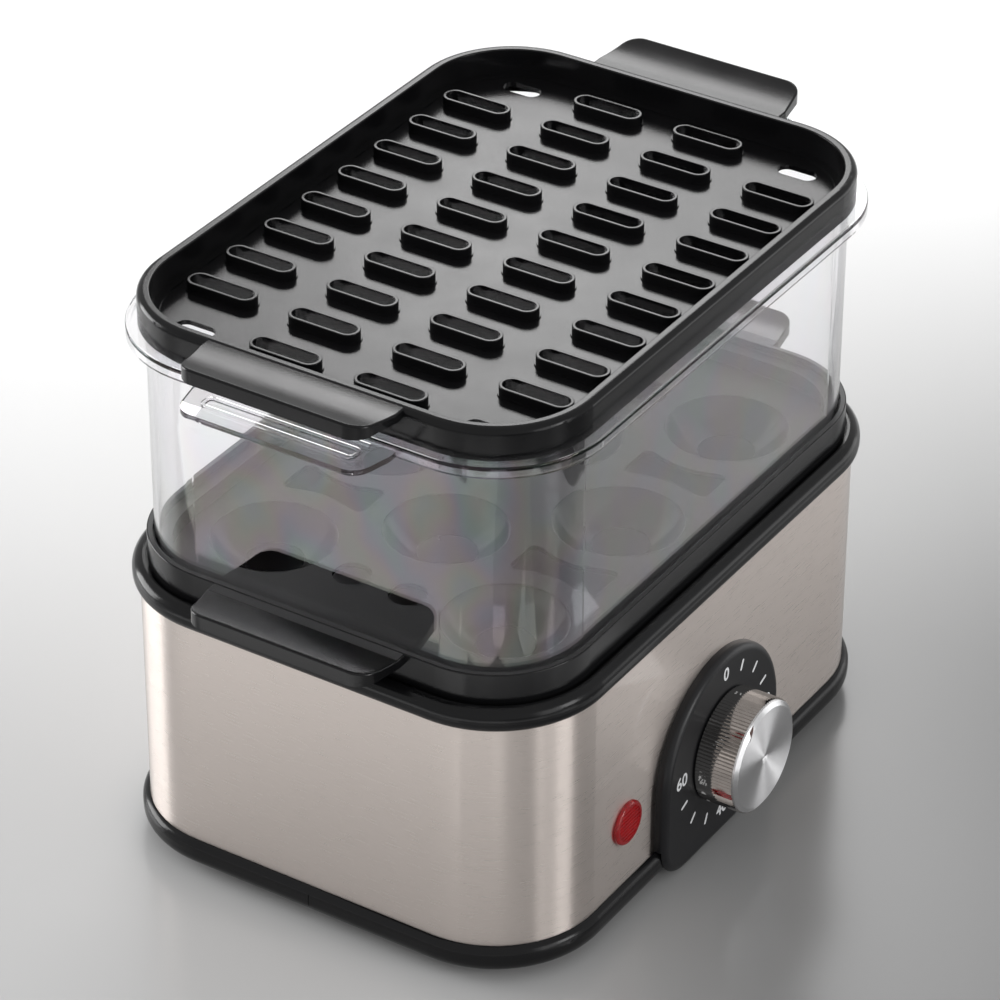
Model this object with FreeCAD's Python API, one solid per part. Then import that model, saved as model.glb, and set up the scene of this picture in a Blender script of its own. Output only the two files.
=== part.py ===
import FreeCAD, Part
import math
import os

# Two-tier electric egg boiler.
# Millimetres. +X is the long side, -Y is the side with the timer knob, +Z is up.
# The origin is on the table, under the middle of the whole object's box.
# Places are worked out from the middle of the base, and each piece moves by the same step when saved.

V = FreeCAD.Vector
UP = V(0, 0, 1)
BACK = V(0, 1, 0)
RIGHT = V(1, 0, 0)
QUARTER_TURN = 90.0      # degrees
OVERRUN = 2.0            # how far a cutting tool runs past what it cuts
FIT = 0.3                # gap between pieces that lift apart
SNUG = 0.15              # gap between pieces that are pushed together once

# Sleeve of the base
shell_length = 235.4
shell_width = 172.1
shell_corner = 38.6
shell_height = 86.0
shell_wall = 0.8
shell_tuck = 2.4         # how far the sleeve goes into the trim and into the bezel

# Bottom trim, cover and feet
foot_height = 4.0
foot_radius = 8.0
foot_plug_radius = 3.0
foot_plug_depth = 1.6
trim_height = 10.5
trim_bulge = 2.6
trim_top_round = 3.6
trim_bottom_round = 5.0
trim_seam = 0.3          # joint line across the trim on the -X side
skirt_wall = 2.4         # upstands that stand inside the sleeve
skirt_height = 9.5
cover_thickness = 2.0
cover_vent_length = 26.0
cover_vent_width = 2.6
cover_vent_pitch = 8.0
cover_vent_count = 6
cover_screw_inset = 7.0  # from the outside of the sleeve to the axis of a cover screw
cover_boss_height = 10.0

# Screw posts between the bottom and the bezel
post_radius = 4.2
post_bore = 2.9
post_cap = 6.0
post_inset = 7.6         # from the outside of the sleeve to the axis of a post
post_web = 3.0
screw_shank = 1.5
screw_head_radius = 2.7
screw_head_height = 2.4

# Bezel on top of the sleeve
bezel_height = 9.5
bezel_bulge = 2.6
bezel_round = 4.2
bezel_lip = 2.0          # from the outside of the sleeve in to the opening
bezel_step_width = 1.0
bezel_step_depth = 0.6
seat_drop = 4.4          # from the bezel's top down to the ledge that carries the egg tray
ledge_thickness = 3.6
ledge_inset = 9.0

# Water basin and what heats it
gasket_thickness = 1.0
basin_wall = 1.6
basin_inset = 13.0
basin_depth = 15.0       # from the flange down to the outside of the floor
basin_floor_round = 6.0
spreader_length = 130.0
spreader_width = 84.0
spreader_thickness = 3.0
spreader_corner = 12.0
element_radius = 3.3
element_bend = 24.0
element_leg = 48.0       # straight length of each leg of the U
element_tail_radius = 2.0
clamp_width = 8.0
clamp_thickness = 1.2
clamp_reach = 6.0        # how far a clamp goes past the element on each side
thermostat_radius = 8.0
thermostat_height = 10.0
thermostat_flange = 1.0
thermostat_screw_pitch = 23.8
fuse_radius = 2.4
fuse_length = 22.0
fuse_offset = 32.0
rivet_radius = 1.8
rivet_height = 1.0
tab_width = 6.3
tab_thickness = 0.8
tab_length = 9.0

# Egg tray
tray_wall = 2.3
tray_floor_rise = 6.0    # from the bezel ledge up to the tray floor
tray_floor_thickness = 1.8
tray_shelf_rise = 6.0    # from the tray floor up to the shelf that carries the clear tier
tray_shelf_inset = 11.3
tray_shelf_thickness = 1.8
tray_lip_rise = 2.8      # lip round the foot of the clear tier
tray_gap = 0.8           # between the tray and the bezel opening
well_radius = 21.0
well_depth = 9.2
well_ball_radius = 25.2
well_wall = 1.6
well_pitch_x = 70.0
well_pitch_y = 45.6
well_mouth_round = 1.0
waist_slot_length = 32.8
waist_slot_width = 15.6
waist_slot_margin = 8.8  # between a well and the slot beside it
waist_slot_round = 2.4
steam_hole_radius = 6.6
steam_hole_x = 74.6
steam_hole_y = 11.1
rim_edge_round = 0.5

# Clear tier
tier_height = 82.8
tier_wall = 1.6
flange_thickness = 1.8
flange_lip = 2.2
flange_lip_wall = 1.6
flange_overhang = 1.0    # past the outside of the sleeve
frame_rib_height = 0.9   # moulded frame and rib on top of each clear handle
frame_rib_width = 1.2
frame_side_inset = 5.0
frame_tip_inset = 5.4
frame_depth = 6.4
frame_corner = 2.6

# Steaming tray
steam_floor_thickness = 1.7
steam_rim_height = 9.6   # from the floor up
steam_rim_wall = 4.3
steam_rim_inset = 3.0
steam_rim_round = 2.4
steam_border_width = 2.8 # raised border of the floor, along the rim
steam_border_rise = 0.5
slot_rise = 3.5
slot_foot = 0.5          # small step round the foot of each collar
slot_length = 26.4
slot_width = 8.4
slot_wall = 1.0
slot_edge_round = 0.3
slot_pitch_x = 21.57
slot_pitch_y = 40.0
slot_rows = 10
slot_columns = 4
drain_length = 14.5
drain_width = 6.8
drain_x = 97.2
drain_y = 55.2
guide_rib_wall = 1.6
guide_rib_depth = 4.4

# Handles of the trays and of the tier
handle_reach = 19.8
handle_shift = 1.3       # sideways, so that a tray is the same when it is turned half round
handle_root_half = 37.4
handle_tip_half = 34.2
handle_shoulder = 3.0
handle_corner = 7.0
handle_shoulder_round = 2.5
handle_skin = 2.4
handle_lip_wall = 2.2
handle_lip_height = 5.6
handle_dip = 1.2
handle_lift = 2.4        # how much higher the outer edge is than the rim
egg_handle_lift = 1.8
handle_edge_round = 0.7
tier_handle_reach = 16.9
tier_handle_thickness = 2.0

# Control panel, lamp and timer
dial_x = -2.5
dial_height = 39.0
panel_radius = 37.7
panel_arch_drop = 2.7    # from the dial's axis down to the middle of the panel's arch
panel_foot_height = 0.8
panel_thickness = 4.4
panel_edge_round = 2.6
panel_corner = 14.0
lamp_x = -58.9
lens_radius = 8.0
lens_proud = 1.6
lens_dome_round = 0.9
lens_neck_radius = 6.4
lens_neck_length = 5.0
lens_wall = 1.2
lens_rim = 1.5
lens_recess = 0.5
lens_rib_count = 9
lens_rib_height = 0.3
holder_wall = 1.4
holder_length = 13.0
neon_radius = 2.6
neon_length = 10.0
knob_gap = 0.6           # between the panel and the knob
knob_radius = 20.6
knob_depth = 15.6
knob_ridges = 96
knob_ridge_depth = 0.55
knob_front_wall = 3.0
knob_wall = 2.4
knob_hub_radius = 6.0
cap_radius = 20.0
cap_thickness = 1.6
cap_bevel = 1.6
cap_bevel_depth = 1.0
cap_dish = 0.35          # how much lower the spun face is in its middle
pointer_depth = 0.7      # groove in the cap, partly filled with the inlay
pointer_fill = 0.5
pointer_tip_radius = 16.8
pointer_tip_turn = -43.0  # clockwise from the top, seen from the front
pointer_start_turn = -15.5
pointer_end_turn = -27.0
shaft_radius = 3.0
shaft_flat = 0.6
shaft_clearance = 0.06
bushing_radius = 5.0
timer_size = 48.0
timer_depth = 28.0
timer_wall = 1.4
timer_plate_thickness = 1.2
timer_plate_margin = 4.0
timer_screw_radius = 1.5
timer_screw_pitch = 31.0
gear_module = 0.6
gear_addendum_share = 0.9
gear_dedendum_share = 1.25
gear_flank_steps = 4
wheel_teeth = 40
pinion_teeth = 16
gear_thickness = 2.6
gear_offset = 9.0        # from the timer plate back to the wheel
gear_backlash = 0.12
gear_spread = 0.08       # extra centre distance
pressure_angle = 22.0
pinion_pivot_radius = 1.2
cam_radius = 9.0
cam_thickness = 3.0
cam_notch = 3.0
bell_radius = 19.0
bell_clearance = 4.5     # between the bell and the cover under it
bell_height = 8.0
bell_round = 4.0
bell_wall = 1.0
bell_post_radius = 2.5
bell_gap = 2.5
contact_width = 6.3
contact_thickness = 0.8
contact_length = 9.0
contact_side = 14.0
contact_rise = 18.0

# Mains inlet and wiring
gland_x = 62.0
gland_height = 36.0
gland_bore = 3.4
gland_neck = 6.0
gland_flange_radius = 8.5
gland_flange = 3.0
gland_nut_radius = 9.0
gland_nut = 4.5
gland_nut_sides = 6
gland_tail = 9.0
block_length = 40.0
block_width = 16.0
block_height = 13.0
block_x = 62.0
block_y = 44.0
block_screw_radius = 2.0
block_screw_depth = 1.2
block_ways = 4
lead_radius = 1.1
lead_bend = 8.0
lead_run = 18.0          # from the terminal block to the first long run
lead_sag = 18.0          # how far a lead hangs below the terminal it goes to

# Places that follow from the sizes above
half_length = shell_length / 2
half_width = shell_width / 2
corner_x = half_length - shell_corner
corner_y = half_width - shell_corner
trim_top = foot_height + trim_height
bezel_bottom = trim_top + shell_height
bezel_top = bezel_bottom + bezel_height
seat = bezel_top - seat_drop
ledge_bottom = seat - ledge_thickness
flange_top = ledge_bottom - gasket_thickness
flange_bottom = flange_top - basin_wall
basin_floor = flange_top - basin_depth
cover_top = foot_height + cover_thickness
tray_floor = seat + tray_floor_rise
tray_shelf = tray_floor + tray_shelf_rise
tray_top = tray_shelf + tray_lip_rise
tray_outside = -bezel_lip - tray_gap
tray_inside = tray_outside - tray_wall
tier_outside = tray_inside - FIT
tier_inside = tier_outside - tier_wall
tier_top = tray_shelf + tier_height
steam_floor = tier_top + steam_floor_thickness
steam_rim = steam_floor + steam_rim_height
steam_inside = -steam_rim_inset - steam_rim_wall
guide_outside = tier_inside - FIT
skirt_outside = -shell_wall - SNUG
skirt_inside = skirt_outside - skirt_wall
front_face = -half_width
front_inside = front_face + shell_wall
panel_front = front_face - panel_thickness
knob_back = panel_front - knob_gap
knob_front = knob_back - knob_depth
timer_front = front_inside + timer_plate_thickness
timer_back = timer_front + timer_depth
wheel_y = front_inside + gear_offset
spreader_bottom = basin_floor - spreader_thickness
element_height = spreader_bottom - element_radius
element_tail = tab_length    # a cold end takes the same push-on terminal as a tab
thermostat_bottom = spreader_bottom - thermostat_height
bell_z = cover_top + bell_clearance + bell_radius
contact_z = dial_height + contact_rise
block_lead_z = cover_top + block_height / 2
pinion_x = dial_x + gear_module * (wheel_teeth + pinion_teeth) / 2 + gear_spread
back_reach = half_width + max(gland_flange, bezel_bulge, trim_bulge)
box_middle_y = (knob_front + back_reach) / 2


def save(name, shape):
    """Writes one piece to its own file, with the origin under the middle of the object's box."""
    shape = shape.removeSplitter()
    shape.translate(V(0, -box_middle_y, 0))
    assert shape.isValid(), name
    shape.exportStep("parts/" + name + ".step")
    print(name, len(shape.Solids), round(shape.Volume / 1000, 2), "cm3")


def outline(offset, height):
    """The plan of the sleeve, moved outwards by offset, at one height."""
    radius = shell_corner + offset
    wide = half_length + offset
    deep = half_width + offset
    edges = []
    for number, (sign_x, sign_y) in enumerate(((1, 1), (-1, 1), (-1, -1), (1, -1))):
        middle = V(sign_x * corner_x, sign_y * corner_y, height)
        start = number * QUARTER_TURN
        edges.append(Part.makeCircle(radius, middle, UP, start, start + QUARTER_TURN))
    edges.append(Part.makeLine(V(corner_x, deep, height), V(-corner_x, deep, height)))
    edges.append(Part.makeLine(V(-wide, corner_y, height), V(-wide, -corner_y, height)))
    edges.append(Part.makeLine(V(-corner_x, -deep, height), V(corner_x, -deep, height)))
    edges.append(Part.makeLine(V(wide, -corner_y, height), V(wide, corner_y, height)))
    return Part.Wire(Part.__sortEdges__(edges))


def slab(offset, low, high):
    """A solid with the sleeve's plan, between two heights."""
    return Part.Face(outline(offset, low)).extrude(V(0, 0, high - low))


def ring(outside, inside, low, high):
    """A wall that follows the sleeve's plan."""
    return slab(outside, low, high).cut(slab(inside, low - OVERRUN, high + OVERRUN))


def level_edges(shape, height, beyond=None):
    """Edges that lie flat at one height, all or only those reaching past an X."""
    found = []
    for edge in shape.Edges:
        box = edge.BoundBox
        flat = abs(box.ZMin - height) < FIT / 10 and abs(box.ZMax - height) < FIT / 10
        if flat and (beyond is None or max(abs(box.XMin), abs(box.XMax)) > beyond):
            found.append(edge)
    return found


def plan_edges(shape, offset, height):
    """Edges at one height that follow the sleeve's plan, moved outwards by offset."""
    path = outline(offset, height)
    return [edge for edge in level_edges(shape, height) if path.distToShape(edge)[0] < FIT / 10]


def cylinder(radius, length, start, direction=UP):
    return Part.makeCylinder(radius, length, start, direction)


def tube(outside, inside, length, start, direction=UP):
    bore = cylinder(inside, length + 2 * OVERRUN, start - direction * OVERRUN, direction)
    return cylinder(outside, length, start, direction).cut(bore)


def block(low, high):
    size = high - low
    return Part.makeBox(size.x, size.y, size.z, low)


def upright_edges(shape, test):
    """Vertical edges whose place passes a test."""
    found = []
    for edge in shape.Edges:
        box = edge.BoundBox
        if box.XLength < FIT / 10 and box.YLength < FIT / 10 and test(box.Center):
            found.append(edge)
    return found


def stadium(length, width, low, high, x, y):
    """An upright slot shape with its length along Y."""
    radius = width / 2
    straight = length / 2 - radius
    edges = [
        Part.makeCircle(radius, V(x, y + straight, low), UP, 0, 2 * QUARTER_TURN),
        Part.makeLine(V(x - radius, y + straight, low), V(x - radius, y - straight, low)),
        Part.makeCircle(radius, V(x, y - straight, low), UP, 2 * QUARTER_TURN, 4 * QUARTER_TURN),
        Part.makeLine(V(x + radius, y - straight, low), V(x + radius, y + straight, low)),
    ]
    return Part.Face(Part.Wire(edges)).extrude(V(0, 0, high - low))


def corners(x, y):
    return [(sign_x * x, sign_y * y) for sign_x in (-1, 1) for sign_y in (-1, 1)]


def post_places():
    reach = (shell_corner - post_inset) / math.sqrt(2)
    return corners(corner_x + reach, corner_y + reach)


def both_ends(shape):
    """A piece on the +X end, and the same piece turned half round to the -X end."""
    turned = shape.copy()
    turned.rotate(V(0, 0, 0), UP, 2 * QUARTER_TURN)
    return [shape, turned]


def bent_lead(points, radius=None):
    """A round lead: straight runs joined by tangent arcs."""
    radius = radius or lead_radius
    edges = []
    start = points[0]
    for before, corner, after in zip(points, points[1:], points[2:]):
        back = (before - corner).normalize()
        ahead = (after - corner).normalize()
        half_turn = (math.pi - back.getAngle(ahead)) / 2
        room = lead_bend * math.tan(half_turn)
        first = corner + back * room
        last = corner + ahead * room
        inwards = (back + ahead).normalize()
        middle = corner + inwards * (lead_bend / math.cos(half_turn) - lead_bend)
        edges.append(Part.makeLine(start, first))
        edges.append(Part.Arc(first, middle, last).toShape())
        start = last
    edges.append(Part.makeLine(start, points[-1]))
    path = Part.Wire(edges)
    along = (points[1] - points[0]).normalize()
    section = Part.Wire(Part.makeCircle(radius, points[0], along))
    return path.makePipeShell([section], True, False)


# Base: trim, sleeve, bezel

def make_housing():
    body = slab(trim_bulge, foot_height, trim_top)
    body = body.makeFillet(trim_top_round, level_edges(body, trim_top))
    body = body.makeFillet(trim_bottom_round, level_edges(body, foot_height))
    body = body.cut(slab(SNUG, trim_top - shell_tuck, trim_top + OVERRUN))
    upstand = slab(skirt_outside, foot_height + cover_thickness, trim_top + skirt_height)
    body = body.fuse(upstand)
    body = body.cut(slab(skirt_inside, foot_height - OVERRUN, trim_top + skirt_height + OVERRUN))
    added = []
    for x, y in post_places():
        corner = V(math.copysign(corner_x, x), math.copysign(corner_y, y), cover_top)
        outwards = V(x, y, cover_top) - corner
        web = Part.makeBox(post_inset + skirt_outside, post_web, trim_height + skirt_height / 2)
        web.translate(V(0, -post_web / 2, 0))
        web.rotate(V(0, 0, 0), UP, math.degrees(math.atan2(outwards.y, outwards.x)))
        web.translate(V(x, y, cover_top))
        added.append(web)
        added.append(cylinder(post_radius, flange_bottom - cover_top, V(x, y, cover_top)))
    for x, y in cover_screw_places():
        boss = cylinder(post_radius, cover_boss_height, V(x, y, cover_top))
        added.append(boss.common(slab(skirt_outside, cover_top, trim_top + skirt_height)))
    body = body.fuse(added)
    side = -half_length - trim_bulge
    joint_line = block(V(side - OVERRUN, -trim_seam / 2, foot_height),
                       V(side + trim_seam, trim_seam / 2, trim_top + OVERRUN))
    body = body.cut(joint_line)
    for x, y in cover_screw_places():
        body = body.cut(cylinder(screw_shank, cover_boss_height, V(x, y, cover_top - OVERRUN)))
    half_plate = timer_size / 2 + timer_plate_margin + FIT
    body = body.cut(block(V(dial_x - half_plate, front_face, dial_height - timer_size / 2 - FIT),
                          V(dial_x + half_plate, -corner_y, trim_top + skirt_height + OVERRUN)))
    for x, y in post_places():
        body = body.cut(cylinder(post_bore, flange_bottom - post_cap - cover_top, V(x, y, cover_top)))
        body = body.cut(cylinder(screw_shank + SNUG, post_cap + 2 * OVERRUN,
                                 V(x, y, flange_bottom - post_cap - OVERRUN)))
    return body


def make_shell():
    body = ring(0, -shell_wall, trim_top - shell_tuck, bezel_bottom + shell_tuck)
    reach = shell_wall + 2 * OVERRUN
    start = front_face - OVERRUN
    body = body.cut(cylinder(bushing_radius + SNUG, reach, V(dial_x, start, dial_height), BACK))
    body = body.cut(cylinder(lens_neck_radius + SNUG, reach, V(lamp_x, start, dial_height), BACK))
    for z in timer_screw_heights():
        body = body.cut(cylinder(timer_screw_radius + SNUG, reach, V(dial_x, start, z), BACK))
    back = half_width - shell_wall - OVERRUN
    return body.cut(cylinder(gland_neck + SNUG, reach, V(gland_x, back, gland_height), BACK))


def make_bezel():
    body = slab(bezel_bulge, bezel_bottom, bezel_top)
    body = body.makeFillet(bezel_round, level_edges(body, bezel_top) + level_edges(body, bezel_bottom))
    body = body.fuse(slab(skirt_outside, bezel_bottom - skirt_height, bezel_bottom))
    body = body.cut(ring(SNUG, skirt_outside, bezel_bottom - OVERRUN, bezel_bottom + shell_tuck))
    body = body.cut(slab(-bezel_lip, seat, bezel_top + OVERRUN))
    step = -bezel_lip + bezel_step_width
    body = body.cut(slab(step, bezel_top - bezel_step_depth, bezel_top + OVERRUN))
    body = body.cut(slab(skirt_inside, bezel_bottom - skirt_height - OVERRUN, ledge_bottom))
    body = body.cut(slab(-ledge_inset, bezel_bottom - OVERRUN, bezel_top + OVERRUN))
    for x, y in post_places():
        body = body.cut(cylinder(screw_shank, ledge_thickness, V(x, y, ledge_bottom - screw_shank / 2)))
    return body


def make_cover():
    body = slab(skirt_inside - SNUG, foot_height, cover_top)
    first = -cover_vent_pitch * (cover_vent_count - 1) / 2
    for number in range(cover_vent_count):
        x = first + number * cover_vent_pitch
        body = body.cut(stadium(cover_vent_length, cover_vent_width,
                                foot_height - OVERRUN, cover_top + OVERRUN, x, 0))
    for x, y in foot_places():
        plug = cylinder(foot_plug_radius, foot_plug_depth, V(x, y, foot_height))
        body = body.cut(plug)
    for x, y in post_places():
        body = body.cut(cylinder(post_bore, cover_thickness + 2 * OVERRUN, V(x, y, foot_height - OVERRUN)))
    for x, y in cover_screw_places():
        body = body.cut(cylinder(screw_shank + SNUG, cover_thickness + 2 * OVERRUN,
                                 V(x, y, foot_height - OVERRUN)))
    return body


def foot_places():
    inset = foot_radius + trim_bottom_round
    return corners(corner_x, half_width - inset - foot_radius)


def cover_screw_places():
    x = half_length - cover_screw_inset
    return [(-x, 0), (x, 0)]


def make_feet():
    feet = []
    for x, y in foot_places():
        pad = cylinder(foot_radius, foot_height, V(x, y, 0))
        pad = pad.makeFillet(rim_edge_round, level_edges(pad, 0))
        feet.append(pad.fuse(cylinder(foot_plug_radius, foot_plug_depth, V(x, y, foot_height))))
    return Part.makeCompound(feet)


def screw(x, y, head_low, shank_top):
    head = cylinder(screw_head_radius, screw_head_height, V(x, y, head_low))
    shank = cylinder(screw_shank, shank_top - head_low, V(x, y, head_low))
    return head.fuse(shank)


def make_tie_screws():
    head_low = flange_bottom - post_cap - screw_head_height
    top = ledge_bottom + ledge_thickness - screw_shank
    return Part.makeCompound([screw(x, y, head_low, top) for x, y in post_places()])


def make_basin():
    flange = ring(skirt_inside - SNUG, -basin_inset, flange_bottom, flange_top)
    dish = slab(-basin_inset, basin_floor, flange_top)
    dish = dish.makeFillet(basin_floor_round, level_edges(dish, basin_floor))
    inside_floor = basin_floor + basin_wall
    hollow = slab(-basin_inset - basin_wall, inside_floor, flange_top + OVERRUN)
    hollow = hollow.makeFillet(basin_floor_round - basin_wall, level_edges(hollow, inside_floor))
    body = flange.fuse(dish).cut(hollow)
    for x, y in post_places():
        body = body.cut(cylinder(screw_shank + SNUG, basin_wall + 2 * OVERRUN,
                                 V(x, y, flange_bottom - OVERRUN)))
    return body


def make_gasket():
    body = ring(skirt_inside - FIT, -ledge_inset, flange_top, ledge_bottom)
    for x, y in post_places():
        body = body.cut(cylinder(screw_shank + SNUG, gasket_thickness + 2 * OVERRUN,
                                 V(x, y, flange_top - OVERRUN)))
    return body


# Heating parts under the basin

def make_spreader():
    body = block(V(-spreader_length / 2, -spreader_width / 2, spreader_bottom),
                 V(spreader_length / 2, spreader_width / 2, basin_floor))
    return body.makeFillet(spreader_corner, upright_edges(body, lambda place: True))


def make_element():
    """A U of tube with two thinner cold ends."""
    z = element_height
    edges = [
        Part.makeLine(V(element_leg, element_bend, z), V(0, element_bend, z)),
        Part.Arc(V(0, element_bend, z), V(-element_bend, 0, z), V(0, -element_bend, z)).toShape(),
        Part.makeLine(V(0, -element_bend, z), V(element_leg, -element_bend, z)),
    ]
    section = Part.Wire(Part.makeCircle(element_radius, V(element_leg, element_bend, z), RIGHT))
    tube_body = Part.Wire(edges).makePipeShell([section], True, False)
    for y in (element_bend, -element_bend):
        tube_body = tube_body.fuse(cylinder(element_tail_radius, element_tail, V(element_leg, y, z), RIGHT))
    return tube_body


def make_clamps():
    """Hat-shaped strips under each leg, flat on the spreader at both sides."""
    strips = []
    x = element_leg / 2
    half = element_radius + clamp_thickness + FIT
    drop = 2 * element_radius + FIT
    for y in (-element_bend, element_bend):
        outer = block(V(x, y - half, spreader_bottom - drop - clamp_thickness),
                      V(x + clamp_width, y + half, spreader_bottom))
        inner = block(V(x - OVERRUN, y - half + clamp_thickness, spreader_bottom - drop),
                      V(x + clamp_width + OVERRUN, y + half - clamp_thickness, spreader_bottom + OVERRUN))
        feet = block(V(x, y - half - clamp_reach, spreader_bottom - clamp_thickness),
                     V(x + clamp_width, y + half + clamp_reach, spreader_bottom))
        strips.append(feet.fuse(outer).cut(inner))
    return Part.makeCompound(strips)


def make_clamp_rivets():
    rivets = []
    reach = element_radius + clamp_thickness + FIT + clamp_reach / 2
    low = spreader_bottom - clamp_thickness - rivet_height
    for side in (-1, 1):
        for offset in (-reach, reach):
            place = V(element_leg / 2 + clamp_width / 2, side * element_bend + offset, low)
            head = cylinder(rivet_radius, rivet_height, place)
            rivets.append(head.makeFillet(rivet_height / 2, level_edges(head, low)))
    return Part.makeCompound(rivets)


def make_thermostat():
    half = thermostat_screw_pitch / 2
    top = spreader_bottom
    body = cylinder(thermostat_radius, thermostat_height, V(0, 0, top - thermostat_height))
    plate = stadium(2 * half + thermostat_radius, thermostat_radius, top - thermostat_flange, top, 0, 0)
    body = body.fuse(plate)
    for y in (-half, half):
        body = body.cut(cylinder(screw_shank + SNUG, thermostat_flange + 2 * OVERRUN,
                                 V(0, y, top - thermostat_flange - OVERRUN)))
    for x in (-contact_width, contact_width):
        tab = block(V(x - tab_thickness / 2, -tab_width / 2, top - thermostat_height - tab_length),
                    V(x + tab_thickness / 2, tab_width / 2, top - thermostat_height))
        body = body.fuse(tab)
    return body


def make_thermostat_screws():
    low = spreader_bottom - thermostat_flange
    screws = []
    for y in (-thermostat_screw_pitch / 2, thermostat_screw_pitch / 2):
        head = cylinder(screw_head_radius, screw_head_height, V(0, y, low - screw_head_height))
        screws.append(head.fuse(cylinder(screw_shank, thermostat_flange, V(0, y, low))))
    return Part.makeCompound(screws)


def make_fuse():
    start = V(-fuse_offset, -fuse_length / 2, spreader_bottom - fuse_radius)
    body = cylinder(fuse_radius, fuse_length, start, BACK)
    cap = body.makeFillet(fuse_radius / 3, [edge for edge in body.Edges if edge.Closed])
    return cap


def make_earth_tab():
    x = spreader_length / 2 - spreader_corner
    foot = block(V(x - tab_width, -tab_width / 2, spreader_bottom - tab_thickness),
                 V(x, tab_width / 2, spreader_bottom))
    blade = block(V(x - tab_thickness, -tab_width / 2, spreader_bottom - tab_length),
                  V(x, tab_width / 2, spreader_bottom))
    return foot.fuse(blade)


# Egg tray

def well_places():
    outer = [(column * well_pitch_x, row * well_pitch_y) for column in (-1, 0, 1) for row in (-1, 1)]
    return outer + [(-well_pitch_x / 2, 0), (well_pitch_x / 2, 0)]


def waist_slot(x, y, low, high):
    """A slot with sides that curve round the wells beside it."""
    body = block(V(x - waist_slot_width / 2, y - waist_slot_length / 2, low),
                 V(x + waist_slot_width / 2, y + waist_slot_length / 2, high))
    for side in (-1, 1):
        middle = V(x + side * well_pitch_x / 2, y, low - OVERRUN)
        body = body.cut(cylinder(well_radius + waist_slot_margin, high - low + 2 * OVERRUN, middle))
    ends = upright_edges(body, lambda place: abs(place.y - y) > waist_slot_length / 2 - FIT)
    return body.makeFillet(waist_slot_round, ends)


def make_egg_tray():
    floor_low = tray_floor - tray_floor_thickness
    centre_rise = math.sqrt(well_ball_radius ** 2 - well_radius ** 2)
    shelf_wall = -tray_shelf_inset + tray_floor_thickness
    shelf_low = tray_shelf - tray_shelf_thickness
    body = slab(shelf_wall, floor_low, tray_shelf)
    body = body.cut(slab(-tray_shelf_inset, tray_floor, tray_shelf + OVERRUN))
    bowls = []
    dishes = []
    for x, y in well_places():
        middle = V(x, y, tray_floor + centre_rise)
        outer = Part.makeSphere(well_ball_radius + well_wall, middle)
        keep = cylinder(well_ball_radius, well_depth, V(x, y, tray_floor - well_depth))
        bowls.append(outer.common(keep))
        inner = Part.makeSphere(well_ball_radius, middle)
        dishes.append(inner.common(cylinder(well_ball_radius, well_depth + OVERRUN,
                                            V(x, y, tray_floor - well_depth - OVERRUN))))
    body = body.fuse(bowls).cut(dishes)
    mouths = [edge for edge in level_edges(body, tray_floor)
              if edge.Closed and abs(edge.Curve.Radius - well_radius) < FIT]
    body = body.makeFillet(well_mouth_round, mouths)
    cuts = []
    for x, y in corners(well_pitch_x / 2, well_pitch_y):
        cuts.append(waist_slot(x, y, floor_low - OVERRUN, tray_floor + OVERRUN))
    for x, y in corners(steam_hole_x, steam_hole_y):
        cuts.append(cylinder(steam_hole_radius, tray_floor_thickness + 2 * OVERRUN,
                             V(x, y, floor_low - OVERRUN)))
    body = body.cut(cuts)
    shelf = ring(tray_outside, -tray_shelf_inset, shelf_low, tray_shelf)
    rim = ring(tray_outside, tray_inside, seat, tray_top)
    rim = rim.makeFillet(rim_edge_round, level_edges(rim, tray_top))
    body = body.fuse([shelf, rim])
    grip = make_handle(tray_outside, tray_inside, tray_top, egg_handle_lift)
    return body.fuse(both_ends(grip))


def handle_plan(root, reach, root_half, tip_half, low, high, inset=0.0):
    """Plan of a handle on the +X end, from inside the rim out to its tip."""
    tip = root + reach - inset
    shoulder = root + handle_shoulder
    points = [
        V(root - handle_shoulder, -root_half + inset, low),
        V(shoulder, -root_half + inset, low),
        V(tip, -tip_half + inset, low),
        V(tip, tip_half - inset, low),
        V(shoulder, root_half - inset, low),
        V(root - handle_shoulder, root_half - inset, low),
    ]
    body = Part.Face(Part.makePolygon(points + points[:1])).extrude(V(0, 0, high - low))
    body = body.makeFillet(handle_shoulder_round,
                           upright_edges(body, lambda place: abs(place.x - shoulder) < FIT))
    outer = upright_edges(body, lambda place: place.x > tip - FIT)
    body = body.makeFillet(handle_corner - inset, outer)
    return body.translated(V(0, -handle_shift, 0))


def dipped_section(start, tip, near, far, low):
    """A block whose top is a hollow arc, from one height at the rim to another at the tip."""
    half = handle_root_half + handle_shift + OVERRUN
    middle = V((start + tip) / 2, -half, (near + far) / 2 - handle_dip)
    edges = [
        Part.Arc(V(start, -half, near), middle, V(tip, -half, far)).toShape(),
        Part.makeLine(V(tip, -half, far), V(tip, -half, low)),
        Part.makeLine(V(tip, -half, low), V(start, -half, low)),
        Part.makeLine(V(start, -half, low), V(start, -half, near)),
    ]
    return Part.Face(Part.Wire(edges)).extrude(V(0, 2 * half, 0))


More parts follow.
